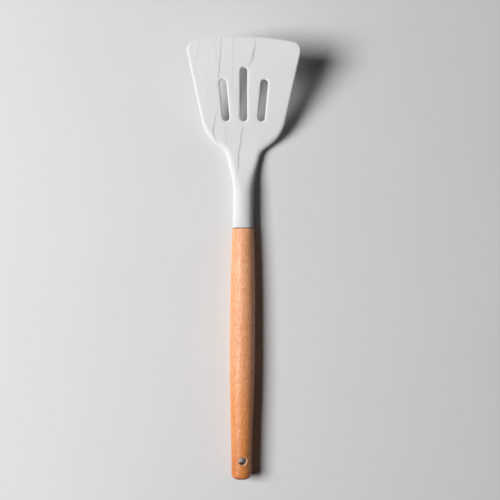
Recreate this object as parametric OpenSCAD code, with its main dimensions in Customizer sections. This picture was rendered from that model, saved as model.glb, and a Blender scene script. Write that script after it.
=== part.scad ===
// Slotted turner: a soft moulded head over a stiff core, glued into a turned wooden handle.
// Millimetres. The turner lies face up on z = 0 as it rests on a table, with y along its
// length, the blade at +y and the hanging hole at -y. The origin is under the middle of
// the whole length.

/* [Handle] */
// Length of the wooden handle, from the joint to its end
handle_len = 189.4; // [160:0.2:220]
// Diameter of the handle at the joint
joint_d = 16.1; // [15.6:0.1:17.5]
// Largest diameter of the handle
belly_d = 18.7; // [17.6:0.1:21]
// Where the largest diameter starts, from the joint
belly_from = 68; // [55:1:80]
// Where the largest diameter ends, from the joint
belly_to = 96; // [82:1:110]
// Diameter of the handle near its end
end_d = 15; // [13.5:0.1:17]
// Radius that rounds the free end
end_round = 4.2; // [2:0.1:6]
// Radius that eases the edge at the joint
joint_ease = 0.7; // [0.3:0.1:1]

/* [Hanging hole] */
// Diameter of the hole
hole_d = 6; // [4:0.1:8]
// Distance of the hole from the free end
hole_back = 14.5; // [11:0.5:25]
// Radius that softens both mouths of the hole
hole_lip = 0.9; // [0.5:0.1:1.2]
// Turn of the handle about its own length, as it was glued
handle_turn = 8; // [-15:1:15]

/* [Head outline, seen from above] */
// Length of the head from the joint to the leading edge
head_len = 135.9; // [130:0.1:150]
// Diameter of the round collar
collar_d = 15.2; // [14.6:0.1:15.6]
// Where the collar starts to flare into the neck
flare_y = 34; // [32:0.5:37]
// Where the neck meets the shoulders
throat_y = 57.8; // [56:0.2:60]
// Width of the neck at the throat
throat_w = 27; // [25:0.2:30]
// Where the shoulders meet the straight sides
shoulder_y = 70; // [68:0.2:72]
// Width at the shoulders
shoulder_w = 58.8; // [56:0.2:62]
// Width across the front corners, before they are rounded
front_w = 84.6; // [78:0.2:90]
// Radius of the flare at the collar
flare_r = 80; // [50:1:90]
// Inner radius at the throat
throat_r = 10.5; // [7:0.5:13]
// Outer radius at the shoulders
shoulder_r = 26; // [18:1:30]
// Radius of the front corners
corner_r = 6; // [4:0.5:9]
// Radius of the bowed leading edge
front_r = 215; // [200:5:400]

/* [Head, seen from the side] */
// Where the flat heel ends and the underside starts to rise
heel_end = 53; // [50:0.5:56]
// Radius of the bend behind the blade
bend_r = 24; // [18:0.5:28]
// Steepest rise of the blade from the line of the handle, in degrees
blade_rise = 37; // [30:1:39]
// Rise of the blade at its leading edge, in degrees
front_rise = 25.5; // [18:0.5:28]
// Where the blade starts to bow back
bow_from = 80; // [76:1:90]
// Thickness of the neck over the heel
heel_t = 8.6; // [7.5:0.1:10]
// Depth of the hollow in the middle of the underside at the heel, so that it lies without rocking
heel_hollow = 0.05; // [0.02:0.01:0.3]
// Thickness of the blade where it stops tapering from the neck
blade_t = 3.7; // [3.6:0.1:4.6]
// Where the blade reaches that thickness
blade_y = 92; // [88:1:105]
// Thickness at the leading edge
front_t = 2.4; // [2:0.1:3]

/* [Slots] */
// Width of each slot
slot_w = 5.2; // [4.8:0.1:6]
// Radius of the rounded lips of the slots
slot_lip = 1.3; // [0.8:0.1:1.3]
// Where all three slots start, from the joint
slot_y = 79.6; // [78:0.2:83]
// Distance of the middle slot from the leading edge
mid_slot_front = 20.1; // [18:0.1:28]
// Distance of the side slots from the leading edge
side_slot_front = 28.1; // [25:0.1:36]
// Distance of the side slots from the middle where they start
side_slot_x = 13.2; // [12.8:0.1:15]
// Angle at which the side slots fan out
slot_fan = 5.2; // [0:0.2:7]

/* [Core] */
// Cover of soft skin over both faces of the core's blade
skin = 0.95; // [0.8:0.05:1.1]
// Cover of soft skin round the core's rod in the collar
collar_skin = 2.3; // [2:0.1:3]
// Soft border round the core at the sides of the blade
side_border = 6; // [4:0.5:8]
// Soft border in front of the core
front_border = 15; // [12:0.5:20]
// Cover of soft skin round each slot
slot_border = 2.2; // [1.8:0.1:2.4]
// Diameter of the holes that lock the skin to the core
key_d = 4; // [3:0.1:5]

/* [Tang and glue] */
// Diameter of the tang
tang_d = 8; // [7:0.1:9]
// Length of the tang inside the handle
tang_len = 44; // [30:1:60]
// Gap that the glue fills round the tang
glue_gap = 0.3; // [0.2:0.05:0.5]
// Depth of glue under the end of the tang
glue_pool = 2; // [1:0.5:4]
// Number of glue grooves round the tang
groove_count = 4; // [2:1:5]
// Width of a glue groove
groove_w = 2.4; // [1.5:0.1:3]
// Depth of a glue groove
groove_deep = 0.6; // [0.3:0.1:1]

/* [Hidden] */
silicone = [0.9, 0.9, 0.9];
nylon = [0.32, 0.33, 0.35];
beech = [0.86, 0.64, 0.44];
glue = [0.93, 0.88, 0.7];

// Facets of the turned pieces, and stations of their curves
round_facets = 96;
profile_steps = 26;
// Points from the middle of the rim to each face, and along each rounded corner
rim_steps = 6;
arc_steps = 7;
// Longest step between two sections of the head
section_step = 3.6;
// Points round each end of a slot, and round the mouth of the hanging hole
slot_points = 9;
mouth_points = 32;
// Rings that round a lip, and how far a cutter runs past the face that it cuts
lip_steps = 4;
past = 0.15;

collar_r = collar_d / 2;
collar_len = 16;
front_turn = asin(0.5 * (front_w - corner_r) / front_r);
front_apex = head_len + front_r / cos(front_turn) - front_r;
bow_r = (head_len - bow_from) / (sin(blade_rise) - sin(front_rise));
bend_to = heel_end + bend_r * sin(blade_rise);

function ease(s) = let (u = min(max(s, 0), 1)) u * u * (3 - 2 * u);
function unit(v) = v / norm(v);

// Radius of the handle at a distance from the joint, before its ends are rounded
function handle_r(d) =
    d < belly_from
        ? joint_d / 2 + (belly_d - joint_d) / 2 * sin(90 * d / belly_from)
        : d < belly_to
            ? belly_d / 2
            : end_d / 2 + (belly_d - end_d) / 2
                * (1 + cos(180 * (d - belly_to) / (handle_len - belly_to))) / 2;

// Height of the underside over the heel, along the head
function rise(y) =
    y < heel_end
        ? 0
        : y < bend_to
            ? bend_r - sqrt(bend_r * bend_r - pow(y - heel_end, 2))
            : y < bow_from
                ? bend_r * (1 - cos(blade_rise)) + (y - bend_to) * tan(blade_rise)
                : bend_r * (1 - cos(blade_rise)) + (bow_from - bend_to) * tan(blade_rise)
                    + bow_r * (cos(bow_angle(y)) - cos(blade_rise));
function bow_angle(y) = asin(sin(blade_rise) - (y - bow_from) / bow_r);

// Thickness of the head, measured square to the handle
function thick(y) =
    y < heel_end
        ? heel_t + (collar_d - heel_t) * (1 - ease((y - flare_start) / (heel_end - flare_start)))
        : y < blade_y
            ? blade_t + (heel_t - blade_t) * (1 - ease((y - heel_end) / (blade_y - heel_end)))
            : blade_t + (front_t - blade_t) * (y - blade_y) / (head_len - blade_y);
flare_start = flare_y - flare_r * tan(0.5 * atan2(throat_w / 2 - collar_r, throat_y - flare_y));
function under(y) = rise(y) - collar_r;
function hollow(y) = heel_hollow * max(0, 1 - abs(y - heel_end) / (heel_end - flare_start));
function over(y) = under(y) + thick(y);

// Points that round the corner q of the line p, q, s, no larger than the line leaves room for
function corner(p, q, s, r) =
    let (
        u = unit(p - q),
        v = unit(s - q),
        half = acos(u * v) / 2,
        reach = min(r / tan(half), 0.49 * norm(p - q), 0.49 * norm(s - q)),
        middle = q + unit(u + v) * reach / cos(half),
        a = q + u * reach - middle,
        b = q + v * reach - middle,
        turn = 180 - 2 * half
    )
    [for (k = [0 : arc_steps])
        middle + (a * sin(turn * (1 - k / arc_steps)) + b * sin(turn * k / arc_steps)) / sin(turn)];

// Right half of the outline seen from above, as [across, along], from the joint to the front
half_corners = [
    [collar_r, 0],
    [collar_r, flare_y],
    [throat_w / 2, throat_y],
    [shoulder_w / 2, shoulder_y],
    [front_w / 2, front_apex - front_w / 2 * tan(front_turn)],
    [0, front_apex]
];
half_radii = [0, flare_r, throat_r, shoulder_r, corner_r];
half_rounded = [for (i = [1 : 4])
    each corner(half_corners[i - 1], half_corners[i], half_corners[i + 1], half_radii[i])];
front_from = asin(0.94 * half_rounded[len(half_rounded) - 1].x / front_r);
front_curve = [for (k = [arc_steps : -1 : 1])
    let (a = front_from * k / arc_steps)
    [front_r * sin(a), head_len - front_r * (1 - cos(a))]];
half_outline = concat([[collar_r, collar_len]], half_rounded, front_curve);

// The same line with its long stretches divided
function divided(line, step) = [
    for (i = [0 : len(line) - 2])
        let (parts = ceil(norm(line[i + 1] - line[i]) / step))
        for (k = [0 : parts - 1]) line[i] + (line[i + 1] - line[i]) * k / parts,
    line[len(line) - 1]
];

stations = [for (p = divided(half_outline, section_step)) if (p.y > collar_len - 0.01) p];
last = len(stations) - 1;
function outward(i) =
    let (d = stations[min(i + 1, last)] - stations[max(i - 1, 0)])
    i == 0 ? [1, 0] : i == last ? [0, 1] : unit([d.y, -d.x]);

// One section of the head: a rounded rim at the right, its mirror image at the left, and the
// middle of the underside
function section(i) =
    let (
        p = stations[i],
        n = outward(i),
        r = min(thick(p.y) / 2, p.x - 0.03),
        side = [for (k = [-rim_steps : rim_steps])
            let (a = 90 * k / rim_steps, q = p - n * r * (1 - cos(a)))
            [q.x, q.y, under(q.y) + thick(q.y) * (1 + sin(a)) / 2]]
    )
    concat(
        side,
        [for (k = [len(side) - 1 : -1 : 0]) [-side[k].x, side[k].y, side[k].z]],
        [[0, side[0].y, side[0].z + hollow(side[0].y)]]
    );

// Faces that join rings of points, closed at both ends
function ring_faces(rings, count) = [
    for (i = [0 : rings - 2], k = [0 : count - 1])
        let (a = i * count + k, b = i * count + (k + 1) % count)
        each [[a, b, b + count], [a, b + count, a + count]]
];

// A closed solid from rings of points, each above the last, turning to the left
module stack(rings) {
    count = len(rings[0]);
    faces = concat(
        [[for (k = [count - 1 : -1 : 0]) k]],
        ring_faces(len(rings), count),
        [[for (k = [0 : count - 1]) k + (len(rings) - 1) * count]]
    );
    polyhedron(
        points = [for (ring = rings) each ring],
        faces = [for (f = faces) [for (k = [len(f) - 1 : -1 : 0]) f[k]]]
    );
}

module head_form() {
    count = 4 * rim_steps + 3;
    rings = last + 1;
    back = [
        [0, count - 1, 1],
        [1, count - 1, count - 3],
        [count - 1, count - 2, count - 3],
        for (k = [1 : 2 * rim_steps - 1]) each [
            [k, count - 2 - k, k + 1],
            [k + 1, count - 2 - k, count - 3 - k]
        ]
    ];
    front = [for (f = back) [for (k = [2, 1, 0]) f[k] + last * count]];
    polyhedron(
        points = [for (i = [0 : last]) each section(i)],
        faces = concat(back, ring_faces(rings, count), front)
    );
}

// Points of a slot's outline, grown by d, between the middles of its two round ends
function slot_line(a, b, r, points) =
    let (along = b - a, turn = norm(along) == 0 ? 0 : atan2(along.y, along.x) - 90)
    concat(
        [for (k = [0 : points]) let (t = turn + 180 * k / points) b + r * [cos(t), sin(t)]],
        [for (k = [0 : points]) let (t = turn + 180 + 180 * k / points) a + r * [cos(t), sin(t)]]
    );

// A cutter through a sheet between two curved faces, with a rounded lip at both
module lipped_cut(a, b, r, lip, points, top, bottom, high, low) {
    steps = [for (k = [0 : lip_steps]) 72 * k / lip_steps];
    upper = [for (t = steps) [lip * (1 - cos(t)), -lip * (1 - sin(t)), 1]];
    lower = [for (k = [lip_steps : -1 : 0]) [upper[k][0], -upper[k][1], -1]];
    levels = concat([[lip, 0, -2], [lip, -past, -1]], lower, upper, [[lip, past, 1], [lip, 0, 2]]);
    rings = [for (level = levels)
        let (line = slot_line(a, b, r + level[0], points))
        [for (p = line) [p.x, p.y,
            level[2] == 2 ? high
            : level[2] == -2 ? low
            : level[2] == 1 ? top(p.x, p.y) + level[1]
            : bottom(p.x, p.y) + level[1]]]];
    stack(rings);
}

// Middles of the round ends of the three slots
slot_r = slot_w / 2;
function slot_ends(i) =
    let (
        start = [i * side_slot_x, slot_y + slot_r],
        front = head_len - (i == 0 ? mid_slot_front : side_slot_front) - slot_r,
        length = (front - start.y) / cos(i * slot_fan)
    )
    [start, start + length * [sin(i * slot_fan), cos(i * slot_fan)]];
slot_ids = [-1, 0, 1];

module slot_cuts() {
    for (i = slot_ids) {
        ends = slot_ends(i);
        lipped_cut(ends[0], ends[1], slot_r, slot_lip, slot_points,
            function (x, y) over(y), function (x, y) under(y),
            over(head_len) + 2, under(0) - 2);
    }
}

// A plate along the core: the space between two heights, seen from the side
module side_plate(from, to, low, high, w) {
    count = ceil((to - from) / section_step);
    ys = [for (k = [0 : count]) from + (to - from) * k / count];
    rotate([90, 0, 90])
        linear_extrude(w, center = true)
            polygon(concat(
                [for (y = ys) [y, low(y)]],
                [for (k = [count : -1 : 0]) [ys[k], high(ys[k])]]
            ));
}

core_front = head_len - front_border;
rod_r = collar_r - collar_skin;
beam_w = 0.82 * rod_r;
beam_from = flare_start - 6;
key_y = slot_y + 2.5 * key_d;
blade_half = [[shoulder_w / 2 - side_border, shoulder_y + 3], [front_w / 2 - 1.15 * side_border, core_front]];
function core_half(y) = lookup(y, [for (p = blade_half) [p.y, p.x]]);

module core_outline() {
    corners = [
        [beam_w, flare_start],
        [throat_w / 2 - 0.75 * side_border, throat_y + 2],
        blade_half[0],
        blade_half[1],
        [0, core_front + 3]
    ];
    radii = [0, throat_r, shoulder_r * 0.6, corner_r];
    half = concat(
        [[beam_w, beam_from], corners[0]],
        [for (i = [1 : 3]) each corner(corners[i - 1], corners[i], corners[i + 1], radii[i])]
    );
    polygon(concat(half, [for (k = [len(half) - 1 : -1 : 0]) [-half[k].x, half[k].y]]));
}

module core_openings() {
    for (i = slot_ids) {
        ends = slot_ends(i);
        for (p = ends) translate(p) circle(slot_r + slot_border, $fn = 48);
        translate(ends[0])
            rotate(-i * slot_fan)
                translate([-slot_r - slot_border, 0])
                    square([slot_w + 2 * slot_border, norm(ends[1] - ends[0])]);
    }
    for (p = key_places) translate(p) circle(key_d / 2, $fn = 40);
}
// Holes through the core that the soft skin fills: near its front, beside the slots, behind them
key_places = concat(
    [for (x = [-0.285, -0.095, 0.095, 0.285]) [x * front_w, core_front - key_d]],
    [for (side = [-1, 1]) [side * (core_half(key_y) + side_slot_x + slot_r + slot_border) / 2, key_y]],
    [[0, slot_y - slot_border - 1.3 * key_d]]
);

module core_blade() {
    intersection() {
        side_plate(beam_from, core_front + 3,
            function (y) under(y) + core_skin(y), function (y) over(y) - core_skin(y), front_w);
        translate([0, 0, -collar_d])
            linear_extrude(over(head_len) + 3 * collar_d)
                difference() {
                    core_outline();
                    core_openings();
                }
    }
}
// Skin over the core's faces, thicker in the neck than in the blade
function core_skin(y) =
    skin + (collar_r - beam_w - skin) * (1 - ease((y - flare_start) / (slot_y - flare_start)));

// The tang with its glue grooves, turned about the line of the handle
module tang() {
    r = tang_d / 2;
    pitch = tang_len / (groove_count + 1);
    grooves = [for (k = [1 : groove_count], p = [
        [r, k * pitch - groove_w / 2],
        [r - groove_deep, k * pitch - groove_w / 2 + groove_deep],
        [r - groove_deep, k * pitch + groove_w / 2 - groove_deep],
        [r, k * pitch + groove_w / 2]
    ]) p];
    rotate([90, 0, 0])
        rotate_extrude($fn = 64)
            polygon(concat([[0, 0], [r, 0]], grooves, [[r, tang_len - 1], [r - 1, tang_len], [0, tang_len]]));
}

module core_form() {
    core_blade();
    rotate([-90, 0, 0]) cylinder(h = flare_start, r = rod_r, $fn = 64);
    tang();
}

module socket() {
    rotate([90, 0, 0])
        rotate_extrude($fn = 64)
            polygon([
                [0, 0], [tang_d / 2 + glue_gap, 0],
                [tang_d / 2 + glue_gap, tang_len + glue_pool],
                [0, tang_len + glue_pool + tang_d * 0.3]
            ]);
}

// The profile of the handle, eased at the joint and rounded at the free end
module handle_profile() {
    body_to = handle_len - end_round;
    middle = [for (k = [0 : 2 * profile_steps])
        let (d = joint_ease + (body_to - joint_ease) * k / (2 * profile_steps))
        [handle_r(d), d]];
    ease_in = [for (a = [0 : 22.5 : 67.5])
        [handle_r(0) - joint_ease * (1 - sin(a)), joint_ease * (1 - cos(a))]];
    end = [for (a = [11.25 : 11.25 : 90])
        [handle_r(body_to) - end_round * (1 - cos(a)), body_to + end_round * sin(a)]];
    polygon(concat([[0, 0]], ease_in, middle, end, [[0, handle_len]]));
}

module hanging_hole() {
    skin_z = function (x, y) sqrt(pow(handle_r(-y), 2) - x * x);
    place = [0, hole_back - handle_len];
    rotate([0, handle_turn, 0]) {
        translate(place) cylinder(h = 2 * belly_d, r = hole_d / 2, center = true, $fn = 64);
        for (side = [0, 180])
            rotate([0, side, 0])
                mouth(place, skin_z);
    }
}

// The softened mouth on the upper side of the hanging hole
module mouth(place, skin_z) {
    r = hole_d / 2;
    steps = [for (k = [0 : lip_steps]) 72 * k / lip_steps];
    levels = concat(
        [[-past, -2 * hole_lip]],
        [for (t = steps) [hole_lip * (1 - cos(t)) - past * cos(t), -hole_lip * (1 - sin(t))]],
        [[hole_lip, past]]
    );
    rings = [for (level = levels)
        [for (k = [0 : mouth_points - 1])
            let (t = 360 * k / mouth_points, p = place + (r + level[0]) * [cos(t), sin(t)])
            [p.x, p.y, skin_z(p.x, p.y) + level[1]]]];
    bottom = [for (p = rings[0]) [p.x, p.y, 0]];
    top = [for (p = rings[len(rings) - 1]) [p.x, p.y, belly_d]];
    stack(concat([bottom], rings, [top]));
}

// How the turner rests: on the end of its heel and on the belly of the handle
rest_tilt = max([for (d = [0 : 1 : handle_len]) atan2(handle_r(d) - collar_r, d + heel_end)]);
rest_up = heel_end * sin(rest_tilt) + collar_r * cos(rest_tilt);
front_reach = head_len * cos(rest_tilt) + (over(head_len) + under(head_len)) / 2 * sin(rest_tilt);
back_reach = handle_len * cos(rest_tilt) + (end_d / 2 - end_round) * sin(rest_tilt);

module at_rest() {
    translate([0, (back_reach - front_reach) / 2, rest_up])
        rotate([-rest_tilt, 0, 0])
            children();
}

module silicone_head() {
    color(silicone)
        at_rest()
            difference() {
                union() {
                    rotate([-90, 0, 0])
                        cylinder(h = collar_len, r = collar_r, $fn = round_facets);
                    head_form();
                }
                slot_cuts();
                core_form();
            }
}

module head_core() {
    color(nylon) at_rest() core_form();
}

module handle() {
    color(beech)
        at_rest()
            difference() {
                rotate([90, 0, 0]) rotate_extrude($fn = round_facets) handle_profile();
                socket();
                hanging_hole();
            }
}

module tang_glue() {
    color(glue)
        at_rest()
            difference() {
                socket();
                tang();
            }
}

silicone_head();
head_core();
handle();
tang_glue();
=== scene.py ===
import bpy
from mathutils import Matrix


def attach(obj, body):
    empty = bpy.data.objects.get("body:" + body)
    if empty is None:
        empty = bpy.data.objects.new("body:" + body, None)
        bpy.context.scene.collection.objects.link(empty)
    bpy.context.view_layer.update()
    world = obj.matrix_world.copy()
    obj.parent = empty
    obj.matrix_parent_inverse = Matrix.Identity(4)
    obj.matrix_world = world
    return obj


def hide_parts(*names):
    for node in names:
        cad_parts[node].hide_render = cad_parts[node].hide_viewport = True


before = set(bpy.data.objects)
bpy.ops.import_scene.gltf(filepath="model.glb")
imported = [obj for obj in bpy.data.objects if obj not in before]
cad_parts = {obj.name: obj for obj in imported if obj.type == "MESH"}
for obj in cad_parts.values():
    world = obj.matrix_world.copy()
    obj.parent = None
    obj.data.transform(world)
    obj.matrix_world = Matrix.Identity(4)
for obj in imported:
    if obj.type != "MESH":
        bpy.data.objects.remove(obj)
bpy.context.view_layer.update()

from math import asin, atan2, cos, hypot, pi, radians, sin, sqrt, tan

import bpy
from mathutils import Vector


# ------------------------------------------------------------------ core
# Stiffener: one moulding of glass-filled nylon, dark grey and matt, that the silicone is
# moulded over. It is hidden in the finished turner and keeps its CAD shape.


def new_material(name):
    """New material, with its node tree and its shader."""
    material = bpy.data.materials.new(name)
    material.use_nodes = True
    tree = material.node_tree
    return material, tree, tree.nodes["Principled BSDF"]


def add_node(tree, kind, place, **values):
    """New node; its place is only where it stands in the node editor."""
    node = tree.nodes.new(kind)
    node.location = place
    for key, value in values.items():
        setattr(node, key, value)
    return node


def join(tree, out, into):
    tree.links.new(out, into)


def noise(tree, vector, place, scale, detail=2.0, rough=0.5, swirl=0.0):
    node = add_node(tree, "ShaderNodeTexNoise", place)
    join(tree, vector, node.inputs["Vector"])
    node.inputs["Scale"].default_value = scale
    node.inputs["Detail"].default_value = detail
    node.inputs["Roughness"].default_value = rough
    node.inputs["Distortion"].default_value = swirl
    return node.outputs["Fac"]


def ramp(tree, value, place, stops, interpolation="LINEAR"):
    """Colour that follows the value through the stops, each a position and a colour."""
    node = add_node(tree, "ShaderNodeValToRGB", place)
    node.color_ramp.interpolation = interpolation
    elements = node.color_ramp.elements
    for element, (at, colour) in zip(elements, (stops[0], stops[-1])):
        element.position, element.color = at, (*colour, 1)
    for at, colour in stops[1:-1]:
        elements.new(at).color = (*colour, 1)
    join(tree, value, node.inputs["Fac"])
    return node.outputs["Color"]


def relief(tree, shader, height, place, strength, depth):
    """Fine relief of the surface; the depth is in metres."""
    node = add_node(tree, "ShaderNodeBump", place)
    node.inputs["Strength"].default_value = strength
    node.inputs["Distance"].default_value = depth
    join(tree, height, node.inputs["Height"])
    join(tree, node.outputs["Normal"], shader.inputs["Normal"])


nylon, tree, shader = new_material("moulded_nylon")
shader.inputs["Roughness"].default_value = 0.55
coords = add_node(tree, "ShaderNodeTexCoord", (-900, 0))
fibres = noise(tree, coords.outputs["Object"], (-650, 0), 1400, 3)
tone = ramp(tree, fibres, (-400, 100), [(0, (0.018, 0.02, 0.023)), (1, (0.034, 0.036, 0.04))])
join(tree, tone, shader.inputs["Base Color"])
relief(tree, shader, fibres, (-250, -200), 0.15, 0.0001)
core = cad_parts["head_core"]
core.data.materials.clear()
core.data.materials.append(nylon)


# ------------------------------------------------------------------ head
# Silicone head: one satin, off-white moulding with thin grey marble veins, cured round the
# core. A round collar flattens into the neck, and the blade sweeps up from the heel.

# Sizes in mm: y runs from the joint to the leading edge and x from the middle to the right.
# A name that ends in _R is a radius, and one that ends in _T a thickness.
MM = 0.001
HEAD_LENGTH = 135.9
COLLAR_R = 7.6
FLARE_Y = 34.0
THROAT = (13.5, 57.8)
SHOULDER = (29.4, 70.0)
FRONT_HALF = 42.3
FLARE_R, THROAT_R, SHOULDER_R, CORNER_R = 80.0, 10.5, 26.0, 6.0
FRONT_R = 215.0
HEEL_END, HEEL_BEND = 53.0, 24.0
BLADE_RISE, FRONT_RISE, BOW_FROM = radians(37), radians(25.5), 80.0
HEEL_T, BLADE_T, BLADE_Y, FRONT_T = 8.6, 3.7, 92.0, 2.4
# Slot 0 is the middle one, and slot 1 is either of the two that fan out beside it.
SLOT_R, SLOT_LIP, SLOT_Y = 2.6, 1.3, 79.6
SLOT_FRONT = {0: 115.8, 1: 107.8}
SLOT_SIDE_X, SLOT_FAN = 13.2, radians(5.2)

BEND_TO = HEEL_END + HEEL_BEND * sin(BLADE_RISE)
BEND_UP = HEEL_BEND * (1 - cos(BLADE_RISE))
BOW_R = (HEAD_LENGTH - BOW_FROM) / (sin(BLADE_RISE) - sin(FRONT_RISE))


def under(y):
    """Height of the head's underside from the line of the handle."""
    if y < HEEL_END:
        up = 0.0
    elif y < BEND_TO:
        up = HEEL_BEND - sqrt(HEEL_BEND ** 2 - (y - HEEL_END) ** 2)
    elif y < BOW_FROM:
        up = BEND_UP + (y - BEND_TO) * tan(BLADE_RISE)
    else:
        angle = asin(sin(BLADE_RISE) - (y - BOW_FROM) / BOW_R)
        up = BEND_UP + (BOW_FROM - BEND_TO) * tan(BLADE_RISE)
        up += BOW_R * (cos(angle) - cos(BLADE_RISE))
    return up - COLLAR_R


ARC_STEPS = 24


def rounded(before, at, after, radius):
    """Points of the arc that rounds the outline's corner at 'at', which keeps to its sides."""
    at, before, after = Vector(at), Vector(before), Vector(after)
    back, on = before - at, after - at
    half = back.angle(on) / 2
    reach = min(radius / tan(half), 0.49 * back.length, 0.49 * on.length)
    back, on = back.normalized(), on.normalized()
    middle = at + (back + on).normalized() * reach / cos(half)
    start, end = at + back * reach - middle, at + on * reach - middle
    turn = pi - 2 * half
    points = []
    for i in range(ARC_STEPS + 1):
        share = i / ARC_STEPS
        out = (start * sin(turn * (1 - share)) + end * sin(turn * share)) / sin(turn)
        points.append(tuple(middle + out))
    return points


# Right half of the outline from above: collar, flare, throat, shoulder, front corner, and then
# the bowed leading edge, whose arc starts a little inside the end of the rounded corner.
front_turn = asin((FRONT_HALF - CORNER_R / 2) / FRONT_R)
front_apex = HEAD_LENGTH + FRONT_R / cos(front_turn) - FRONT_R
corners = [(COLLAR_R, 0), (COLLAR_R, FLARE_Y), THROAT, SHOULDER,
           (FRONT_HALF, front_apex - FRONT_HALF * tan(front_turn)), (0, front_apex)]
outline = [(COLLAR_R, 0.0)]
for i, radius in enumerate((FLARE_R, THROAT_R, SHOULDER_R, CORNER_R), 1):
    outline += rounded(corners[i - 1], corners[i], corners[i + 1], radius)
front_from = asin(0.94 * outline[-1][0] / FRONT_R)
for i in range(ARC_STEPS, -1, -1):
    angle = front_from * i / ARC_STEPS
    outline.append((FRONT_R * sin(angle), HEAD_LENGTH - FRONT_R * (1 - cos(angle))))
outline_x, outline_y = [p[0] for p in outline], [p[1] for p in outline]
outline_s = [0.0]
for p, q in zip(outline, outline[1:]):
    outline_s.append(outline_s[-1] + hypot(q[0] - p[0], q[1] - p[1]))

# The side ends and the leading edge begins half way round the front corner.
CORNER_MID = 1 + 3 * (ARC_STEPS + 1) + ARC_STEPS // 2
CORNER_S, FRONT_S = outline_s[CORNER_MID], outline_s[-1]


def read_off(value, keys, values):
    """Value read from a rising list of keys."""
    for i in range(1, len(keys)):
        if value <= keys[i]:
            t = (value - keys[i - 1]) / (keys[i] - keys[i - 1])
            return values[i - 1] + (values[i] - values[i - 1]) * t
    return values[-1]


def outline_at(s):
    """Place and outward direction on the right half of the outline, at the length s along it."""
    x, y = read_off(s, outline_s, outline_x), read_off(s, outline_s, outline_y)
    # The direction is that of the 0.8 mm of outline round this place.
    a, b = max(s - 0.4, 0), min(s + 0.4, FRONT_S)
    dx = read_off(b, outline_s, outline_x) - read_off(a, outline_s, outline_x)
    dy = read_off(b, outline_s, outline_y) - read_off(a, outline_s, outline_y)
    return x, y, dy / hypot(dx, dy), -dx / hypot(dx, dy)


def side_at(y):
    """Length along the outline at which the side passes y."""
    return read_off(y, outline_y[:CORNER_MID + 1], outline_s[:CORNER_MID + 1])


def smooth(share):
    """Share of a way, eased at both ends."""
    u = min(max(share, 0.0), 1.0)
    return u * u * (3 - 2 * u)


def thickness(y):
    if y < HEEL_END:
        flare_start = outline_y[1]
        collar = 1 - smooth((y - flare_start) / (HEEL_END - flare_start))
        return HEEL_T + (2 * COLLAR_R - HEEL_T) * collar
    if y < BLADE_Y:
        neck = 1 - smooth((y - HEEL_END) / (BLADE_Y - HEEL_END))
        return BLADE_T + (HEEL_T - BLADE_T) * neck
    return BLADE_T + (FRONT_T - BLADE_T) * (y - BLADE_Y) / (HEAD_LENGTH - BLADE_Y)


def over(y):
    """Height of the head's upper face from the line of the handle."""
    return under(y) + thickness(y)


def rim_point(s, angle):
    """Point on the half-round rim at the length s, 90 degrees at the upper face and -90 below."""
    x, y, nx, ny = outline_at(s)
    r = min(thickness(y) / 2, x) if s < CORNER_S else thickness(y) / 2
    back = r * (1 - cos(angle))
    px, py = x - nx * back, y - ny * back
    return px, py, under(py) + thickness(py) * (1 + sin(angle)) / 2


# The head is shaped as a cage of SIDE columns from its middle to each side and of rows from
# the joint to the leading edge, with BAND steps round the rim and WALL steps down a slot. Round
# each slot the cage has a ring at the edge of the lip and another one SLOT_FLAT outside it.
SIDE, BAND, WALL = 12, 6, 3
SLOT_COLUMN = 6
SLOT_FLAT = 1.5
START, STRAIGHT = SLOT_Y, SLOT_Y + SLOT_R
BLADE_FROM = 72.6
rows = [0, 0.13, 0.45, 1.6, 5, 9.5, 14, 18, 21.5, 25, 28, 31, 34, 37, 40, 43, 46, 48.8, 51.2,
        53.4, 55.6, 57.8, 60, 62.4, 64.8, 67.2, 69.8, BLADE_FROM, 75.3,
        START - 1.6, START + 0.4, STRAIGHT, 86.5, 91, 95.8, 100.6]
for slot in (1, 0):
    rows += [SLOT_FRONT[slot] - SLOT_R, SLOT_FRONT[slot] - 0.4, SLOT_FRONT[slot] + 1.6]
rows += [120.6, 124.2, 127.6, 130.2, 132.3, 134.1, HEAD_LENGTH]
LAST = len(rows) - 1
BLADE_ROW = rows.index(BLADE_FROM)
FIRST_ROW = rows.index(START + 0.4)
END_ROW = {slot: rows.index(SLOT_FRONT[slot] - 0.4) for slot in (0, 1)}
FRONT_FROM = END_ROW[0] + 1
EDGE_AT_SLOTS = rim_point(side_at(START), pi / 2)[0]
# Where the outer columns stand between the side slot's ring (0) and the edge (1), and where
# all of them end along the leading edge, from the corner (0) to the middle (1).
OUTER_SHARE = (0.42, 0.75, 0.92, 1.0)
FRONT_SHARE = [0.29 + 0.71 * (8 - i) / 8 for i in range(9)] + [0.178, 0.098, 0.042, 0.0]


def column_x(i, y, edge):
    """Where column i of the upper or lower face crosses a row, from the middle."""
    scale = 1.0
    if y < START:
        scale = edge / EDGE_AT_SLOTS
        y = START
    centre = SLOT_SIDE_X + (min(y, SLOT_FRONT[0]) - STRAIGHT) * tan(SLOT_FAN)
    lip = SLOT_R + SLOT_LIP
    ring = lip + SLOT_FLAT
    inner = [0, lip, ring, centre / 2, centre - ring, centre - lip, centre, centre + lip,
             centre + ring]
    if i < len(inner):
        return inner[i] * scale
    outer = edge / scale - inner[-1]
    return (inner[-1] + outer * OUTER_SHARE[i - len(inner)]) * scale


def front_way(j):
    """Share of the way from the last row of the slots to the leading edge."""
    return (rows[j] - rows[FRONT_FROM]) / (HEAD_LENGTH - rows[FRONT_FROM])


def side_of_row(j):
    """Length along the outline at which row j meets the side."""
    if j <= FRONT_FROM:
        return side_at(rows[j])
    start = side_at(rows[FRONT_FROM])
    return start + (CORNER_S - start) * front_way(j)


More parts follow.
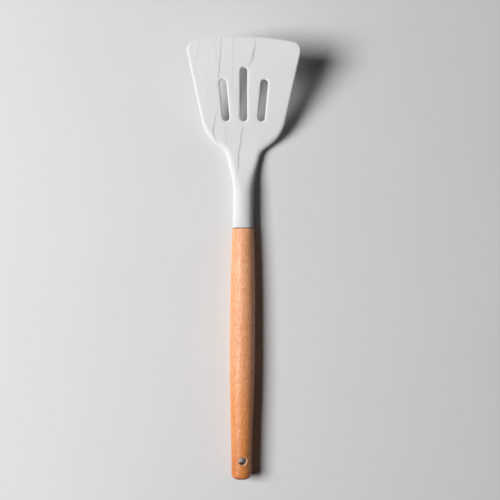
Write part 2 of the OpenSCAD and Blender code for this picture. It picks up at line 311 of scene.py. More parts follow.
def front_of_column(i):
    """Length along the outline at which column i meets the leading edge."""
    return CORNER_S + (FRONT_S - CORNER_S) * FRONT_SHARE[i]


def face_point(i, j):
    """Place of column i on row j of the blade's faces, seen from above."""
    side = rim_point(side_of_row(j), pi / 2)
    if j <= FRONT_FROM:
        return column_x(i, rows[j], side[0]), rows[j] + (side[1] - rows[j]) * (i / SIDE) ** 2
    # In front of the slots the rows bend, between the last straight row, side and front.
    t, u = front_way(j), 1 - FRONT_SHARE[i]
    back, back_side = face_point(i, FRONT_FROM), face_point(SIDE, FRONT_FROM)
    front, corner = rim_point(front_of_column(i), pi / 2), rim_point(CORNER_S, pi / 2)
    return [(1 - t) * back[n] + t * front[n]
            + u * (side[n] - (1 - t) * back_side[n] - t * corner[n]) for n in (0, 1)]


# How far the lip's rounding stands back half way, both from the face and from the wall.
LIP_IN = SLOT_LIP * (1 - cos(pi / 4))


def slot_ring(slot, rel, j, level, lip):
    """Place on a slot's rings, or None: rel is the column from the slot's middle."""
    first, last = FIRST_ROW + 1, END_ROW[slot] - 1
    if j < first - 2 or j > last + 2:
        return None
    if j <= first:
        base, way, step = 0.0, -1, first - j
    elif j >= last:
        length = (SLOT_FRONT[slot] - SLOT_R - STRAIGHT) / cos(SLOT_FAN * slot)
        base, way, step = length, 1, j - last
    else:
        base, way, step = (rows[j] - STRAIGHT) / cos(SLOT_FAN * slot), 0, 0
    side = abs(rel)
    out = SLOT_R + SLOT_LIP
    if side == 2:
        out, turn = out + SLOT_FLAT, radians((90, 67.5, 45)[step])
    elif step == 2:
        out, turn = out + SLOT_FLAT, radians(22.5 * side)
    else:
        turn = radians((90, 45)[step]) * side
        if lip:
            out = SLOT_R + (LIP_IN if level in (0, WALL) else 0.0)
    fan = SLOT_FAN * slot
    across = out * sin(turn) * (1 if rel > 0 else -1)
    along = base + way * out * cos(turn)
    x = SLOT_SIDE_X * slot + across * cos(fan) + along * sin(fan)
    return x, STRAIGHT - across * sin(fan) + along * cos(fan)


# From here on the columns move over to their places in the blade. The first two rows are drawn
# in, which eases the edge at the joint.
SPREAD_FROM = 36.0
JOINT_EASE_IN = {0: 0.3, 1: 0.1}


def neck_point(column, j, level, steps):
    """Point on the round collar or the neck, where the columns spread evenly round the section."""
    y = rows[j]
    x, side_y, nx, ny = outline_at(side_at(y))
    r = min(thickness(y) / 2, x)
    flat = x - nx * r
    quarter = flat + pi / 2 * r
    spread = smooth((y - SPREAD_FROM) / (BLADE_FROM - SPREAD_FROM))

    def way(k):
        """Length round the upper half of the section, from the middle to line k."""
        even = quarter * k / (SIDE + BAND / 2)
        if k <= SIDE:
            set_out = column_x(k, y, max(flat, 0.01))
        else:
            set_out = flat + pi / 2 * r * (k - SIDE) / (BAND / 2)
        return even + (set_out - even) * spread

    if column == SIDE:
        upper = level <= BAND / 2
        d, half = way(SIDE + (level if upper else BAND - level)), 1 if upper else -1
    else:
        d, half = way(column), 1 - 2 * level / steps
    if d <= flat:
        px, py = d, y + (side_y - ny * r - y) * (d / max(flat, 0.01)) ** 2
        swell = 1.0
    else:
        angle = pi / 2 - (d - flat) / r
        px, py = x - nx * r * (1 - cos(angle)), y - ny * r * (1 - cos(angle))
        swell = sin(angle)
    ease_in = 1 - JOINT_EASE_IN.get(j, 0.0) / COLLAR_R
    middle = under(py) + thickness(py) / 2
    return px * ease_in, py, middle + half * swell * thickness(py) / 2 * ease_in


def cage_point(i, j, level, steps, lip):
    """Where the skin passes at column i and row j; level counts down the rim or the wall."""
    side, column = (1 if i >= 0 else -1), abs(i)
    for slot, rel in ((0, i), (1, column - SLOT_COLUMN)):
        ring = slot_ring(slot, rel, j, level, lip) if abs(rel) <= 2 else None
        if ring:
            x, y = ring
            low, top = under(y), over(y)
            if lip:
                z = (top - LIP_IN, top - SLOT_LIP, low + SLOT_LIP, low + LIP_IN)[level]
            else:
                z = top if level == 0 else low
            return (side * x if slot == 1 else x), y, z
    angle = pi / 2 - pi * level / steps
    if j < BLADE_ROW:
        x, y, z = neck_point(column, j, level, steps)
    elif column == SIDE:
        x, y, z = rim_point(side_of_row(j), angle)
    elif j == LAST:
        x, y, z = rim_point(front_of_column(column), angle)
    else:
        x, y = face_point(column, j)
        z = over(y) if level == 0 else under(y)
    return side * x, y, z


# The cage starts as a grid. Its slots are inset, which gives their lips, and cut out, and then
# all of its edges are drawn down.
bpy.ops.object.select_all(action="DESELECT")
bpy.ops.mesh.primitive_grid_add(x_subdivisions=2 * SIDE, y_subdivisions=LAST, size=2)
head = bpy.context.object
head.name = "silicone_head_soft"
bpy.ops.object.mode_set(mode="EDIT")
bpy.ops.mesh.select_mode(type="FACE")
bpy.ops.mesh.select_all(action="DESELECT")
bpy.ops.object.mode_set(mode="OBJECT")
for face in head.data.polygons:
    across, along = face.center.x * SIDE, (face.center.y + 1) / 2 * LAST
    for slot, middle in ((0, 0), (1, SLOT_COLUMN), (1, -SLOT_COLUMN)):
        if abs(across - middle) < 1 and FIRST_ROW < along < END_ROW[slot]:
            face.select = True
bpy.ops.object.mode_set(mode="EDIT")
bpy.ops.mesh.inset(thickness=0.01, depth=0)
bpy.ops.mesh.delete(type="FACE")
bpy.ops.mesh.select_all(action="SELECT")
bpy.ops.mesh.extrude_region_move(TRANSFORM_OT_translate={"value": (0, 0, -1)})


def select_uprights(piece, test):
    """Selects the upright edges of a cage whose place passes the test."""
    bpy.ops.mesh.select_mode(type="EDGE")
    bpy.ops.mesh.select_all(action="DESELECT")
    bpy.ops.object.mode_set(mode="OBJECT")
    points = piece.data.vertices
    for edge in piece.data.edges:
        a, b = points[edge.vertices[0]].co, points[edge.vertices[1]].co
        edge.select = abs(a.z - b.z) > 0.5 and test(a)
    bpy.ops.object.mode_set(mode="EDIT")


def on_border(p):
    return abs(abs(p.x) - 1) < 0.001 or abs(abs(p.y) - 1) < 0.001


select_uprights(head, on_border)
bpy.ops.mesh.subdivide_edgering(number_cuts=BAND - 1, interpolation="LINEAR")
select_uprights(head, lambda p: not on_border(p))
bpy.ops.mesh.subdivide_edgering(number_cuts=WALL - 1, interpolation="LINEAR")
bpy.ops.mesh.select_all(action="SELECT")
bpy.ops.mesh.normals_make_consistent(inside=False)
bpy.ops.object.mode_set(mode="OBJECT")


PULLS = 12


def soften(piece, targets):
    """Softens a cage, which is pulled out until its skin passes through the targets in mm."""
    targets = [Vector(target) * MM for target in targets]
    for v, target in zip(piece.data.vertices, targets):
        v.co = target
    modifier = piece.modifiers.new("soften", "SUBSURF")
    modifier.levels = modifier.render_levels = 2
    for pull in range(PULLS):
        bpy.context.view_layer.update()
        skin = piece.evaluated_get(bpy.context.evaluated_depsgraph_get()).data
        moves = [target - skin.vertices[n].co for n, target in enumerate(targets)]
        for v, move in zip(piece.data.vertices, moves):
            v.co += move
    bpy.ops.object.modifier_apply(modifier=modifier.name)
    bpy.ops.object.shade_smooth()


# The turner rests on the heel and on the belly of the handle, so that it lies a little tilted.
REST_TILT = radians(0.9186)
REST_UP = 8.4487
REST_BACK = 26.438


def lay_down(piece):
    """Moves a piece from the line of the handle to where it lies on the table."""
    piece.rotation_euler.x = -REST_TILT
    piece.location = (0, REST_BACK * MM, REST_UP * MM)
    bpy.ops.object.transform_apply(location=True, rotation=True, scale=True)


# The inset has moved the vertices of the lips off the grid, so they are known by their place.
targets = []
for v in head.data.vertices:
    column, row = v.co.x * SIDE, (v.co.y + 1) / 2 * LAST
    i, j = round(column), round(row)
    lip = abs(column - i) > 0.05 or abs(row - j) > 0.1
    steps = BAND if on_border(v.co) else WALL
    targets.append(cage_point(i, j, round(-v.co.z * steps), steps, lip))
soften(head, targets)
lay_down(head)


def calc(tree, kind, place, *parts):
    """Maths node; each part is a number or the socket of another node."""
    node = add_node(tree, "ShaderNodeMath", place, operation=kind)
    for socket, part in zip(node.inputs, parts):
        if isinstance(part, (int, float)):
            socket.default_value = part
        else:
            join(tree, part, socket)
    return node.outputs[0]


def fade(tree, value, place, start, end, low=0.0, high=1.0):
    """Soft step from low to high while the value goes from start to end."""
    node = add_node(tree, "ShaderNodeMapRange", place, interpolation_type="SMOOTHSTEP")
    join(tree, value, node.inputs["Value"])
    node.inputs["From Min"].default_value = start
    node.inputs["From Max"].default_value = end
    node.inputs["To Min"].default_value = low
    node.inputs["To Max"].default_value = high
    return node.outputs["Result"]


def mixed(tree, share, place, under_colour, over_colour):
    """Colour that goes from the first to the second as the share goes from 0 to 1."""
    node = add_node(tree, "ShaderNodeMix", place, data_type="RGBA")
    join(tree, share, node.inputs["Factor"])
    for socket, colour in ((node.inputs[6], under_colour), (node.inputs[7], over_colour)):
        if isinstance(colour, tuple):
            socket.default_value = (*colour, 1)
        else:
            join(tree, colour, socket)
    return node.outputs[2]


def read_curve(tree, value, place, points):
    """Smooth curve through points whose two numbers both lie between 0 and 1."""
    node = add_node(tree, "ShaderNodeFloatCurve", place)
    curve = node.mapping.curves[0]
    curve.points[0].location, curve.points[1].location = points[0], points[-1]
    for at, height in points[1:-1]:
        curve.points.new(at, height)
    node.mapping.update()
    join(tree, value, node.inputs["Value"])
    return node.outputs["Value"]


# Veins: half width in mm, and then x, y in mm from the middle of the turner at rest, with how
# strong the vein is there.
UPPER_VEINS = [
    (0.65, [(-18.3, 134.5, 0), (-18.3, 139.2, 0.8), (-17.4, 144, 0.9), (-16.7, 151, 0.7),
            (-16.4, 163, 0.75)]),
    (0.95, [(2.2, 141.5, 0), (4.4, 145, 0.55), (6.4, 149, 0.9), (6.9, 152.5, 1),
            (8.0, 155.6, 0.7), (8.7, 162, 0.2)]),
    (0.72, [(-14.5, 85.8, 0.3), (-17.6, 88.2, 0.45), (-20.7, 91.8, 0.7), (-22.1, 95.6, 0.95),
            (-22.7, 99, 1), (-22.4, 102, 0.8), (-21.2, 106.7, 0.6), (-19.9, 111.8, 0.4),
            (-18.2, 116, 0)]),
    (0.88, [(-2.4, 54.4, 0), (-4.4, 56.6, 0.3), (-5.2, 60.8, 0.25), (-5.1, 65.4, 0.3),
            (-4.4, 70, 0.5), (-3.9, 74, 0.8), (-3.8, 79, 0.9), (-3.6, 84, 0.85),
            (-2.7, 89, 0.8), (-1.9, 95, 0.75), (-0.9, 99.3, 0.6), (-0.3, 104, 0.1)]),
    (0.68, [(-10.4, 84.5, 0), (-12.4, 90.5, 0.3), (-13.4, 95, 0.35), (-13.2, 104, 0)]),
    (1.10, [(-35.2, 145, 0), (-34.6, 149, 0.2), (-32.8, 156, 0.22), (-32.2, 162, 0.1)]),
    (0.78, [(-19.9, 141, 0), (-20.3, 150, 0.18), (-20.1, 163, 0.22)]),
    (0.90, [(-8.9, 122, 0), (-8.5, 134, 0.18), (-7.6, 148, 0.2), (-8.2, 163, 0.22)]),
]
LOWER_VEINS = [
    (0.60, [(16.5, 98, 0), (17.6, 110, 0.7), (19.8, 124, 0.9), (18.9, 139, 0.7),
            (21.5, 163, 0.8)]),
    (0.50, [(-6.1, 60, 0), (-3.2, 74, 0.8), (2.8, 88, 0.7), (7.9, 101, 0.9), (7.2, 113, 0)]),
    (0.80, [(-27.5, 118, 0), (-24.5, 130, 0.8), (-26.8, 145, 0.9), (-25.2, 162, 0.5)]),
]


def vein(tree, across, along, spread, points, row):
    """Mask of one thin vein, whose nodes stand at the height 'row' of the node editor."""
    xs, ys = [p[0] for p in points], [p[1] for p in points]
    x_from, wide, y_from, long = min(xs) - 1, max(xs) - min(xs) + 2, ys[0], ys[-1] - ys[0]
    course = [((y - y_from) / long, (x - x_from) / wide) for x, y, strong in points]
    strength = [((y - y_from) / long, strong) for x, y, strong in points]
    way = calc(tree, "SUBTRACT", (-1650, row), along, y_from)
    way = calc(tree, "DIVIDE", (-1500, row), way, long)
    path = read_curve(tree, way, (-1350, row), course)
    force = read_curve(tree, way, (-1350, row - 60), strength)
    on_path = calc(tree, "MULTIPLY_ADD", (-1100, row), path, wide, x_from)
    apart = calc(tree, "SUBTRACT", (-1000, row), across, on_path)
    apart = calc(tree, "ABSOLUTE", (-900, row), apart)
    begun = calc(tree, "GREATER_THAN", (-1000, row - 60), way, 0.0)
    not_over = calc(tree, "LESS_THAN", (-1000, row - 90), way, 1.0)
    inside = calc(tree, "MULTIPLY", (-900, row - 60), begun, not_over)
    line = calc(tree, "MULTIPLY", (-700, row), fade(tree, apart, (-800, row), spread, 0.0), force)
    return calc(tree, "MULTIPLY", (-600, row), line, inside)


VEIN_GREY = (0.49, 0.49, 0.50)

silicone, tree, shader = new_material("marbled_silicone")
shader.inputs["Diffuse Roughness"].default_value = 1.0
shader.inputs["Specular IOR Level"].default_value = 0.2
shader.inputs["Subsurface Weight"].default_value = 0.3
shader.inputs["Subsurface Radius"].default_value = (1, 1, 1)
shader.inputs["Subsurface Scale"].default_value = 0.006
coords = add_node(tree, "ShaderNodeTexCoord", (-2600, 0))
in_mm = add_node(tree, "ShaderNodeVectorMath", (-2400, 0), operation="SCALE")
in_mm.inputs["Scale"].default_value = 1 / MM
join(tree, coords.outputs["Object"], in_mm.inputs[0])
in_mm = in_mm.outputs[0]
axes = add_node(tree, "ShaderNodeSeparateXYZ", (-2200, 0))
join(tree, in_mm, axes.inputs[0])
wander = noise(tree, in_mm, (-2000, 200), 0.16, 3.0)
wander = calc(tree, "MULTIPLY_ADD", (-1900, 100), wander, 1.6, -0.8)
across = calc(tree, "ADD", (-1800, 0), axes.outputs["X"], wander)
facing = add_node(tree, "ShaderNodeSeparateXYZ", (-2200, 300))
join(tree, coords.outputs["Normal"], facing.inputs[0])
upper = fade(tree, facing.outputs["Z"], (-2000, 400), -0.1, 0.3)
lower = calc(tree, "SUBTRACT", (-1800, 400), 1.0, upper)
marble = 0.0
row = 0
for side, veins in ((upper, UPPER_VEINS), (lower, LOWER_VEINS)):
    one_side = 0.0
    for spread, points in veins:
        mask = vein(tree, across, axes.outputs["Y"], spread, points, row)
        one_side = calc(tree, "MAXIMUM", (-450, row), one_side, mask)
        row -= 220
    one_side = calc(tree, "MULTIPLY", (-300, row), one_side, side)
    marble = calc(tree, "ADD", (-200, row), marble, one_side)

# Where the grey was folded thin it leaves hair lines and a slow change of tone along the flow.
flow = add_node(tree, "ShaderNodeMapping", (-2200, -300))
flow.inputs["Scale"].default_value = (1, 0.06, 0.4)
join(tree, in_mm, flow.inputs["Vector"])
folds = noise(tree, flow.outputs[0], (-2000, -300), 0.17, 3.0, 0.55, 0.8)
folds = calc(tree, "SUBTRACT", (-1800, -300), folds, 0.5)
hair = fade(tree, calc(tree, "ABSOLUTE", (-1700, -300), folds), (-1600, -300), 0.012, 0.0)
patches = noise(tree, in_mm, (-2000, -500), 0.03)
patches = fade(tree, patches, (-1800, -500), 0.45, 0.65, 0.0, 0.3)
hair = calc(tree, "MULTIPLY", (-1400, -300), hair, patches)
grey = calc(tree, "ADD", (0, 300), marble, hair)
grey.node.use_clamp = True
streaks = noise(tree, flow.outputs[0], (-2000, -700), 0.55, 3.0, 0.6)
# The milk is a shade greyer in the collar and neck than in the blade: painted shade that holds
# back the strong light on the round collar's lit side.
shaded_collar_milk = mixed(tree, streaks, (-500, 600), (0.71, 0.71, 0.715), (0.772, 0.772, 0.767))
blade_milk = mixed(tree, streaks, (-500, 500), (0.76, 0.76, 0.765), (0.83, 0.83, 0.825))
to_blade = fade(tree, axes.outputs["Y"], (-500, 700), 50, 90)
milk = mixed(tree, to_blade, (-300, 500), shaded_collar_milk, blade_milk)
colour = mixed(tree, grey, (200, 300), milk, VEIN_GREY)
join(tree, colour, shader.inputs["Base Color"])
gloss = fade(tree, noise(tree, in_mm, (-2000, -900), 0.4), (-300, -600), 0.3, 0.7, 0.50, 0.60)
join(tree, gloss, shader.inputs["Roughness"])
relief(tree, shader, noise(tree, in_mm, (-2000, -1100), 2.2), (-100, -900), 0.12, 0.00008)
head.data.materials.append(silicone)
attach(head, "root")
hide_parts("silicone_head")


# ------------------------------------------------------------------ glue
# Cured epoxy: clear amber adhesive that fills the thin gap between the tang and the socket
# of the handle. It is hidden in the joint and keeps its CAD shape.

epoxy, tree, shader = new_material("cured_epoxy")
shader.inputs["Roughness"].default_value = 0.18
coords = add_node(tree, "ShaderNodeTexCoord", (-900, 0))
cloud = noise(tree, coords.outputs["Object"], (-650, 0), 260, 4)
tone = ramp(tree, cloud, (-400, 100), [(0.35, (0.42, 0.27, 0.1)), (0.7, (0.6, 0.42, 0.19))])
join(tree, tone, shader.inputs["Base Color"])
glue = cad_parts["tang_glue"]
glue.data.materials.clear()
glue.data.materials.append(epoxy)


# ------------------------------------------------------------------ handle
# Handle: one piece of steamed beech, turned on a lathe, sanded and oiled, with a hole drilled
# through near its end to hang it by. Its socket is glued over the tang of the core.

# Sizes in mm, with lengths from the joint to the free end.
HANDLE_LENGTH = 189.4
JOINT_R, BELLY_R, END_R = 8.05, 9.35, 7.5
BELLY_FROM, BELLY_TO = 68.0, 96.0
END_ROUND, JOINT_EASE = 4.2, 0.7
SOCKET_R, SOCKET_DEPTH = 4.3, 44.0
HOLE_R, HOLE_LIP, HOLE_AT = 3.0, 0.9, HANDLE_LENGTH - 14.5
HOLE_TURN = radians(8)


def handle_radius(d):
    if d < BELLY_FROM:
        return JOINT_R + (BELLY_R - JOINT_R) * sin(pi / 2 * d / BELLY_FROM)
    if d < BELLY_TO:
        return BELLY_R
    way = (d - BELLY_TO) / (HANDLE_LENGTH - BELLY_TO)
    return END_R + (BELLY_R - END_R) * (1 + cos(pi * way)) / 2


# The profile that the lathe follows, as length and radius: out of the drilled socket, over the
# eased joint, along the handle, across the hole and round the free end.
profile = [(SOCKET_DEPTH + 2.0, 0.6), (SOCKET_DEPTH + 0.9, 2.2), (SOCKET_DEPTH, SOCKET_R - 0.1),
           (SOCKET_DEPTH - 0.6, SOCKET_R), (30, SOCKET_R), (14, SOCKET_R), (2, SOCKET_R),
           (0.15, SOCKET_R), (0, SOCKET_R + 0.15), (0, 5.8), (0, JOINT_R - JOINT_EASE)]
SOCKET_TIP = profile[0][0] + 0.25
for step in (30, 60, 90):
    a = radians(step)
    profile.append((JOINT_EASE * (1 - cos(a)), handle_radius(0) - JOINT_EASE * (1 - sin(a))))
for d in (1.2, 2.4, 6, 12, 20, 30, 40, 50, 59, 68, 77, 87, 96, 105, 114, 123, 132, 141, 149, 156,
          162, 167):
    profile.append((d, handle_radius(d)))
HOLE_ROW = len(profile) + 2
for d in (-3.5, -1.75, 0, 1.75, 3.5):
    profile.append((HOLE_AT + d, handle_radius(HOLE_AT + d)))
for d in (180.6, 182.8, 184.4):
    profile.append((d, handle_radius(d)))
for step in (0, 22, 45, 68, 90):
    a = radians(step)
    profile.append((HANDLE_LENGTH - END_ROUND * (1 - sin(a)),
                    handle_radius(HANDLE_LENGTH) - END_ROUND * (1 - cos(a))))
profile += [(HANDLE_LENGTH, 2.4), (HANDLE_LENGTH, 1.2)]
TURNS = len(profile) - 1
ROUND = 24
BORE_LOOPS = 4

bpy.ops.object.select_all(action="DESELECT")
bpy.ops.mesh.primitive_cylinder_add(vertices=ROUND, radius=1, depth=2, end_fill_type="TRIFAN")
handle = bpy.context.object
handle.name = "beech_handle"
bpy.ops.object.mode_set(mode="EDIT")
select_uprights(handle, lambda p: True)
bpy.ops.mesh.subdivide_edgering(number_cuts=TURNS - 1, interpolation="LINEAR")


def row_of(p):
    return (p.z + 1) / 2 * TURNS


def column_of(p):
    """Column round the handle, 0 at the side where the hole comes out on top."""
    return atan2(p.x, p.y) / (2 * pi) * ROUND


def from_mouth(p):
    """Columns to the nearer mouth of the hole, which has one on top and one below."""
    return min(abs(column_of(p)), ROUND / 2 - abs(column_of(p)))


bpy.ops.mesh.select_mode(type="FACE")
bpy.ops.mesh.select_all(action="DESELECT")
bpy.ops.object.mode_set(mode="OBJECT")
for face in handle.data.polygons:
    face.select = abs(row_of(face.center) - HOLE_ROW) < 1 and from_mouth(face.center) < 1
bpy.ops.object.mode_set(mode="EDIT")
bpy.ops.mesh.delete(type="FACE")
bpy.ops.mesh.select_mode(type="EDGE")
bpy.ops.mesh.select_non_manifold(extend=False)
bpy.ops.mesh.bridge_edge_loops(number_cuts=BORE_LOOPS, interpolation="LINEAR", use_merge=False)
bpy.ops.mesh.select_all(action="SELECT")
bpy.ops.mesh.normals_make_consistent(inside=False)
bpy.ops.object.mode_set(mode="OBJECT")


def ring_angle(across, along):
    """Angle of one of the 16 cells of the outer ring round the hole, which stand evenly."""
    if abs(along) == 2:
        angle = pi / 8 * across
        return angle if along > 0 else pi - angle
    angle = pi / 2 - pi / 8 * along
    return angle if across > 0 else -angle


def hole_point(across, along, level):
    """Point round the hanging hole: 'across' and 'along' count cells from its middle."""
    if max(abs(across), abs(along)) == 2:
        angle, out, depth = ring_angle(across, along), HOLE_R + HOLE_LIP, 0.0
        share = 0.0 if level == 0 else 1.0
    else:
        angle, out, depth = atan2(across, along), HOLE_R, HOLE_LIP
        if level in (0, BORE_LOOPS + 1):
            out += HOLE_LIP * (1 - cos(pi / 4))
            depth = HOLE_LIP * (1 - sin(pi / 4))
        share = min(max((level - 1) / (BORE_LOOPS - 1), 0.0), 1.0)
    x, y = out * sin(angle), out * cos(angle)
    skin = sqrt(handle_radius(HOLE_AT + y) ** 2 - x * x) - depth
    return x, y, skin * (1 - 2 * share)


targets = []
for v in handle.data.vertices:
    j = round(row_of(v.co))
    size = hypot(v.co.x, v.co.y)
    if size < 0.01 and j in (0, TURNS):
        x, d, z = 0, SOCKET_TIP if j == 0 else HANDLE_LENGTH, 0
    elif size < 0.98 or (abs(j - HOLE_ROW) <= 2 and from_mouth(v.co) < 2.1):
        across = round(asin(max(-1, min(1, v.co.x))) / (2 * pi) * ROUND)
        upper = cos(across * 2 * pi / ROUND)
        level = round((1 - v.co.y / upper) / 2 * (BORE_LOOPS + 1))
        x, d, z = hole_point(across, j - HOLE_ROW, level)
        d += HOLE_AT
    else:
        d, r = profile[j]
        angle = round(column_of(v.co)) * 2 * pi / ROUND
        x, z = r * sin(angle), r * cos(angle)
    targets.append((x * cos(HOLE_TURN) + z * sin(HOLE_TURN), -d,
                    z * cos(HOLE_TURN) - x * sin(HOLE_TURN)))
soften(handle, targets)
bpy.ops.object.mode_set(mode="EDIT")
bpy.ops.mesh.select_all(action="SELECT")
bpy.ops.mesh.normals_make_consistent(inside=False)
bpy.ops.object.mode_set(mode="OBJECT")
lay_down(handle)

PALE_WOOD, WARM_WOOD, WAVE_TONE = (0.92, 0.50, 0.275), (0.87, 0.43, 0.21), (0.70, 0.25, 0.09)
FIBRE_TONE, FLECK_TONE = (0.68, 0.26, 0.10), (0.55, 0.17, 0.06)
# The dark end grain colour also serves as painted shade on the rounded free end.
END_GRAIN_AND_SHADE, BORE_MOUTH, BORE_PAINTED_SHADE = (0.16, 0.045, 0.02), (0.93, 0.62, 0.45), (0.07, 0.02, 0.01)
TAIL_TONES = [(0, (1, 1, 1)), (0.32, (0.98, 0.92, 0.83)), (0.68, (0.90, 0.72, 0.47)),
             (1, (0.77, 0.54, 0.24))]

# The grain follows the handle: mm from the middle of the hole, with the bore along z.
beech, tree, shader = new_material("oiled_beech")
shader.inputs["Diffuse Roughness"].default_value = 0.35
coords = add_node(tree, "ShaderNodeTexCoord", (-2600, 0))
stick = add_node(tree, "ShaderNodeMapping", (-2400, 0), vector_type="TEXTURE")
stick.inputs["Location"].default_value = (0, (REST_BACK - HOLE_AT * cos(REST_TILT)) * MM,
                                          (REST_UP + HOLE_AT * sin(REST_TILT)) * MM)
stick.inputs["Rotation"].default_value = (-REST_TILT, HOLE_TURN, 0)
stick.inputs["Scale"].default_value = (MM, MM, MM)
join(tree, coords.outputs["Object"], stick.inputs["Vector"])
axes = add_node(tree, "ShaderNodeSeparateXYZ", (-2200, 400))
join(tree, stick.outputs[0], axes.inputs[0])
JOINT_AT, END_AT = HOLE_AT, HOLE_AT - HANDLE_LENGTH


def along_grain(tree, place, stretch):
    """Coordinates in mm with features drawn out along the handle."""
    node = add_node(tree, "ShaderNodeMapping", place)
    node.inputs["Scale"].default_value = (1, 1 / stretch, 1)
    join(tree, stick.outputs[0], node.inputs["Vector"])
    return node.outputs[0]


bands = noise(tree, along_grain(tree, (-2200, 0), 14), (-2000, 0), 0.28, 3.0, 0.55, 0.3)
fibres = noise(tree, along_grain(tree, (-2200, -250), 9), (-2000, -250), 2.6, 3.0, 0.65)
waves = noise(tree, along_grain(tree, (-2200, -500), 3.6), (-2000, -500), 1.05, 2.0, 0.6, 0.6)
flecks = add_node(tree, "ShaderNodeTexVoronoi", (-2000, -750))
flecks.inputs["Scale"].default_value = 0.95
join(tree, along_grain(tree, (-2200, -750), 4), flecks.inputs["Vector"])
chance = add_node(tree, "ShaderNodeSeparateColor", (-1800, -900))
join(tree, flecks.outputs["Color"], chance.inputs[0])
some = fade(tree, chance.outputs[0], (-1600, -900), 0.45, 0.6)
rays = fade(tree, flecks.outputs["Distance"], (-1700, -750), 0.30, 0.08)
rays = calc(tree, "MULTIPLY", (-1400, -750), rays, some)

# The grain shows more towards the free end.
to_tail = add_node(tree, "ShaderNodeMapRange", (-1100, 500))
join(tree, axes.outputs["Y"], to_tail.inputs["Value"])
to_tail.inputs["From Min"].default_value = 120
to_tail.inputs["From Max"].default_value = -15
to_tail = to_tail.outputs[0]
grain_force = calc(tree, "MULTIPLY_ADD", (-950, 400), to_tail, 0.7, 0.75)
fine = fade(tree, fibres, (-1700, -250), 0.42, 0.68, 0, 0.68)
fine = calc(tree, "MULTIPLY", (-1000, -250), fine, grain_force)
flecked = calc(tree, "MULTIPLY", (-1000, -700), grain_force, 0.85)
flecked = calc(tree, "MULTIPLY", (-900, -700), rays, flecked)
bands = fade(tree, bands, (-1700, 0), 0.35, 0.65)
wood = mixed(tree, bands, (-1300, 200), PALE_WOOD, WARM_WOOD)
wavy = fade(tree, waves, (-1700, -400), 0.46, 0.66, 0, 0.7)
wood = mixed(tree, wavy, (-1100, 200), wood, WAVE_TONE)
wood = mixed(tree, fine, (-900, 200), wood, FIBRE_TONE)
wood = mixed(tree, flecked, (-700, 200), wood, FLECK_TONE)

# The wood turns a deeper orange towards the free end.
tail_tone = ramp(tree, to_tail, (-900, 500), TAIL_TONES, "EASE")
deeper = add_node(tree, "ShaderNodeMix", (-500, 200), data_type="RGBA", blend_type="MULTIPLY")
deeper.inputs["Factor"].default_value = 1
join(tree, wood, deeper.inputs[6])
join(tree, tail_tone, deeper.inputs[7])
wood = deeper.outputs[2]

# End grain is dark at the joint, and at the free end, where the dark end grain is also painted
# shade on the rounded butt. The drilled wall is pale at the mouths and painted dark inside as
# shade.
seam = fade(tree, axes.outputs["Y"], (-900, 700), JOINT_AT - 0.95, JOINT_AT - 0.45, 0, 0.9)
butt_grain_and_shade = fade(tree, axes.outputs["Y"], (-900, 800), END_AT + 2.6, END_AT + 0.9, 0, 0.9)
end_grain_and_shade = calc(tree, "MAXIMUM", (-700, 700), seam, butt_grain_and_shade)
wood = mixed(tree, end_grain_and_shade, (-400, 200), wood, END_GRAIN_AND_SHADE)
x_squared = calc(tree, "POWER", (-1400, 650), axes.outputs["X"], 2.0)
y_squared = calc(tree, "POWER", (-1400, 550), axes.outputs["Y"], 2.0)
from_hole = calc(tree, "ADD", (-1300, 600), x_squared, y_squared)
from_hole = calc(tree, "SQRT", (-1200, 600), from_hole)
in_bore = fade(tree, from_hole, (-1000, 600), HOLE_R + 0.45, HOLE_R + 0.1)
# Painted shade: deeper in the bore the wall turns dark, as the shade inside the hole.
bore_shade = calc(tree, "ABSOLUTE", (-1100, 500), axes.outputs["Z"])
bore_shade = fade(tree, bore_shade, (-1000, 500), 6.2, 4.6)
bore_shade = calc(tree, "MULTIPLY", (-800, 600), in_bore, bore_shade)
wood = mixed(tree, in_bore, (-350, 200), wood, BORE_MOUTH)
wood = mixed(tree, bore_shade, (-300, 200), wood, BORE_PAINTED_SHADE)
join(tree, wood, shader.inputs["Base Color"])
gloss = fade(tree, waves, (-300, -200), 0.3, 0.7, 0.41, 0.53)
join(tree, gloss, shader.inputs["Roughness"])
grain = calc(tree, "MULTIPLY_ADD", (-600, -600), waves, 2.0, fibres)
grain = calc(tree, "MULTIPLY_ADD", (-500, -500), rays, -0.6, grain)
relief(tree, shader, grain, (-300, -500), 0.5, 0.00015)
handle.data.materials.append(beech)
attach(handle, "root")
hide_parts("handle")


# ------------------------------------------------------------------ table, light and camera
# The turner lies face up on a plain pale table under one large soft lamp at its left. The
# camera looks straight down from about 0.8 m, as in the photograph.

# Places in metres and power in watts. The lamp stands LAMP_SLOPE times its height to the left.
LAMP_HEIGHT, LAMP_SLOPE, LAMP_POWER = 1.3, 0.8, 34
CAMERA_AT, CAMERA_TURN = (0.00536, 0.00974, 0.797), radians(0.385)
ROOM_TONE, ROOM_FILL = 0.63, 0.007


def seen_or_mirrored(tree, place):
    """1 for what the camera sees, directly or in a gloss, and 0 for the light on the turner."""
    path = add_node(tree, "ShaderNodeLightPath", place)
    mirrored = calc(tree, "MAXIMUM", (place[0] + 150, place[1] - 100),
                    path.outputs["Is Glossy Ray"], path.outputs["Is Transmission Ray"])
    return calc(tree, "MAXIMUM", (place[0] + 300, place[1]), path.outputs["Is Camera Ray"],
                mirrored)


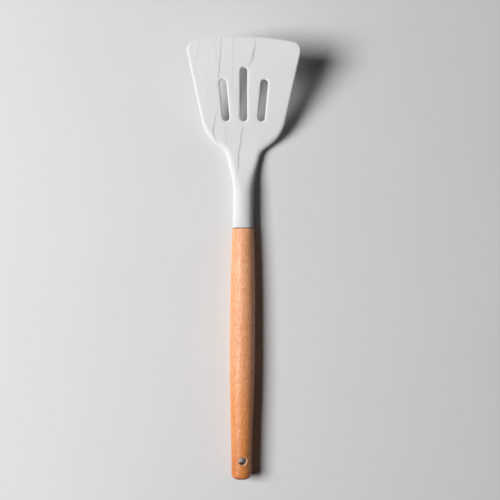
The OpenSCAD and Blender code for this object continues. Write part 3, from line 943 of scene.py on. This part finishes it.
bpy.ops.mesh.primitive_plane_add(size=6, location=(0, 0, 0))
table = bpy.context.object
table.name = "table"
paint, tree, shader = new_material("table_paint")
shader.inputs["Roughness"].default_value = 0.8
coords = add_node(tree, "ShaderNodeTexCoord", (-900, 0))
cloud = noise(tree, coords.outputs["Object"], (-700, 0), 9.0, 3.0)
tone = mixed(tree, cloud, (-400, 0), (0.665, 0.665, 0.67), (0.695, 0.695, 0.69))
join(tree, tone, shader.inputs["Base Color"])
# Far from the turner, where the lamp's light runs out, the table takes the room's pale tone.
radius = add_node(tree, "ShaderNodeVectorMath", (-900, -300), operation="LENGTH")
join(tree, coords.outputs["Object"], radius.inputs[0])
far = fade(tree, radius.outputs["Value"], (-700, -300), 0.24, 0.60)
far = calc(tree, "MULTIPLY", (-300, -300), far, seen_or_mirrored(tree, (-700, -500)))
haze = add_node(tree, "ShaderNodeEmission", (-100, -300))
haze.inputs["Color"].default_value = (1, 1, 1, 1)
haze.inputs["Strength"].default_value = ROOM_TONE
both = add_node(tree, "ShaderNodeMixShader", (200, 0))
join(tree, far, both.inputs[0])
join(tree, shader.outputs[0], both.inputs[1])
join(tree, haze.outputs[0], both.inputs[2])
join(tree, both.outputs[0], tree.nodes["Material Output"].inputs["Surface"])
table.data.materials.append(paint)

# The room is pale to look at, but gives only a faint fill light.
world = bpy.data.worlds.new("room")
bpy.context.scene.world = world
world.use_nodes = True
air = world.node_tree
backdrop = air.nodes["Background"]
backdrop.inputs["Color"].default_value = (1, 1, 1, 1)
shown = seen_or_mirrored(air, (-700, 0))
brightness = fade(air, shown, (-300, 0), 0.0, 1.0, ROOM_FILL, ROOM_TONE)
join(air, brightness, backdrop.inputs["Strength"])

bpy.ops.object.light_add(type="AREA", location=(-LAMP_SLOPE * LAMP_HEIGHT, 0, LAMP_HEIGHT),
                         rotation=(0, -atan2(LAMP_SLOPE, 1.0), 0))
lamp = bpy.context.object
lamp.name = "softbox"
lamp.data.shape = "RECTANGLE"
lamp.data.size = 0.78
lamp.data.size_y = 0.70
lamp.data.energy = LAMP_POWER

bpy.ops.object.camera_add(location=CAMERA_AT, rotation=(0, 0, CAMERA_TURN))
camera = bpy.context.object
camera.data.lens = 50
camera.data.sensor_width = 24
bpy.context.scene.camera = camera
bpy.context.scene.view_settings.view_transform = "Standard"
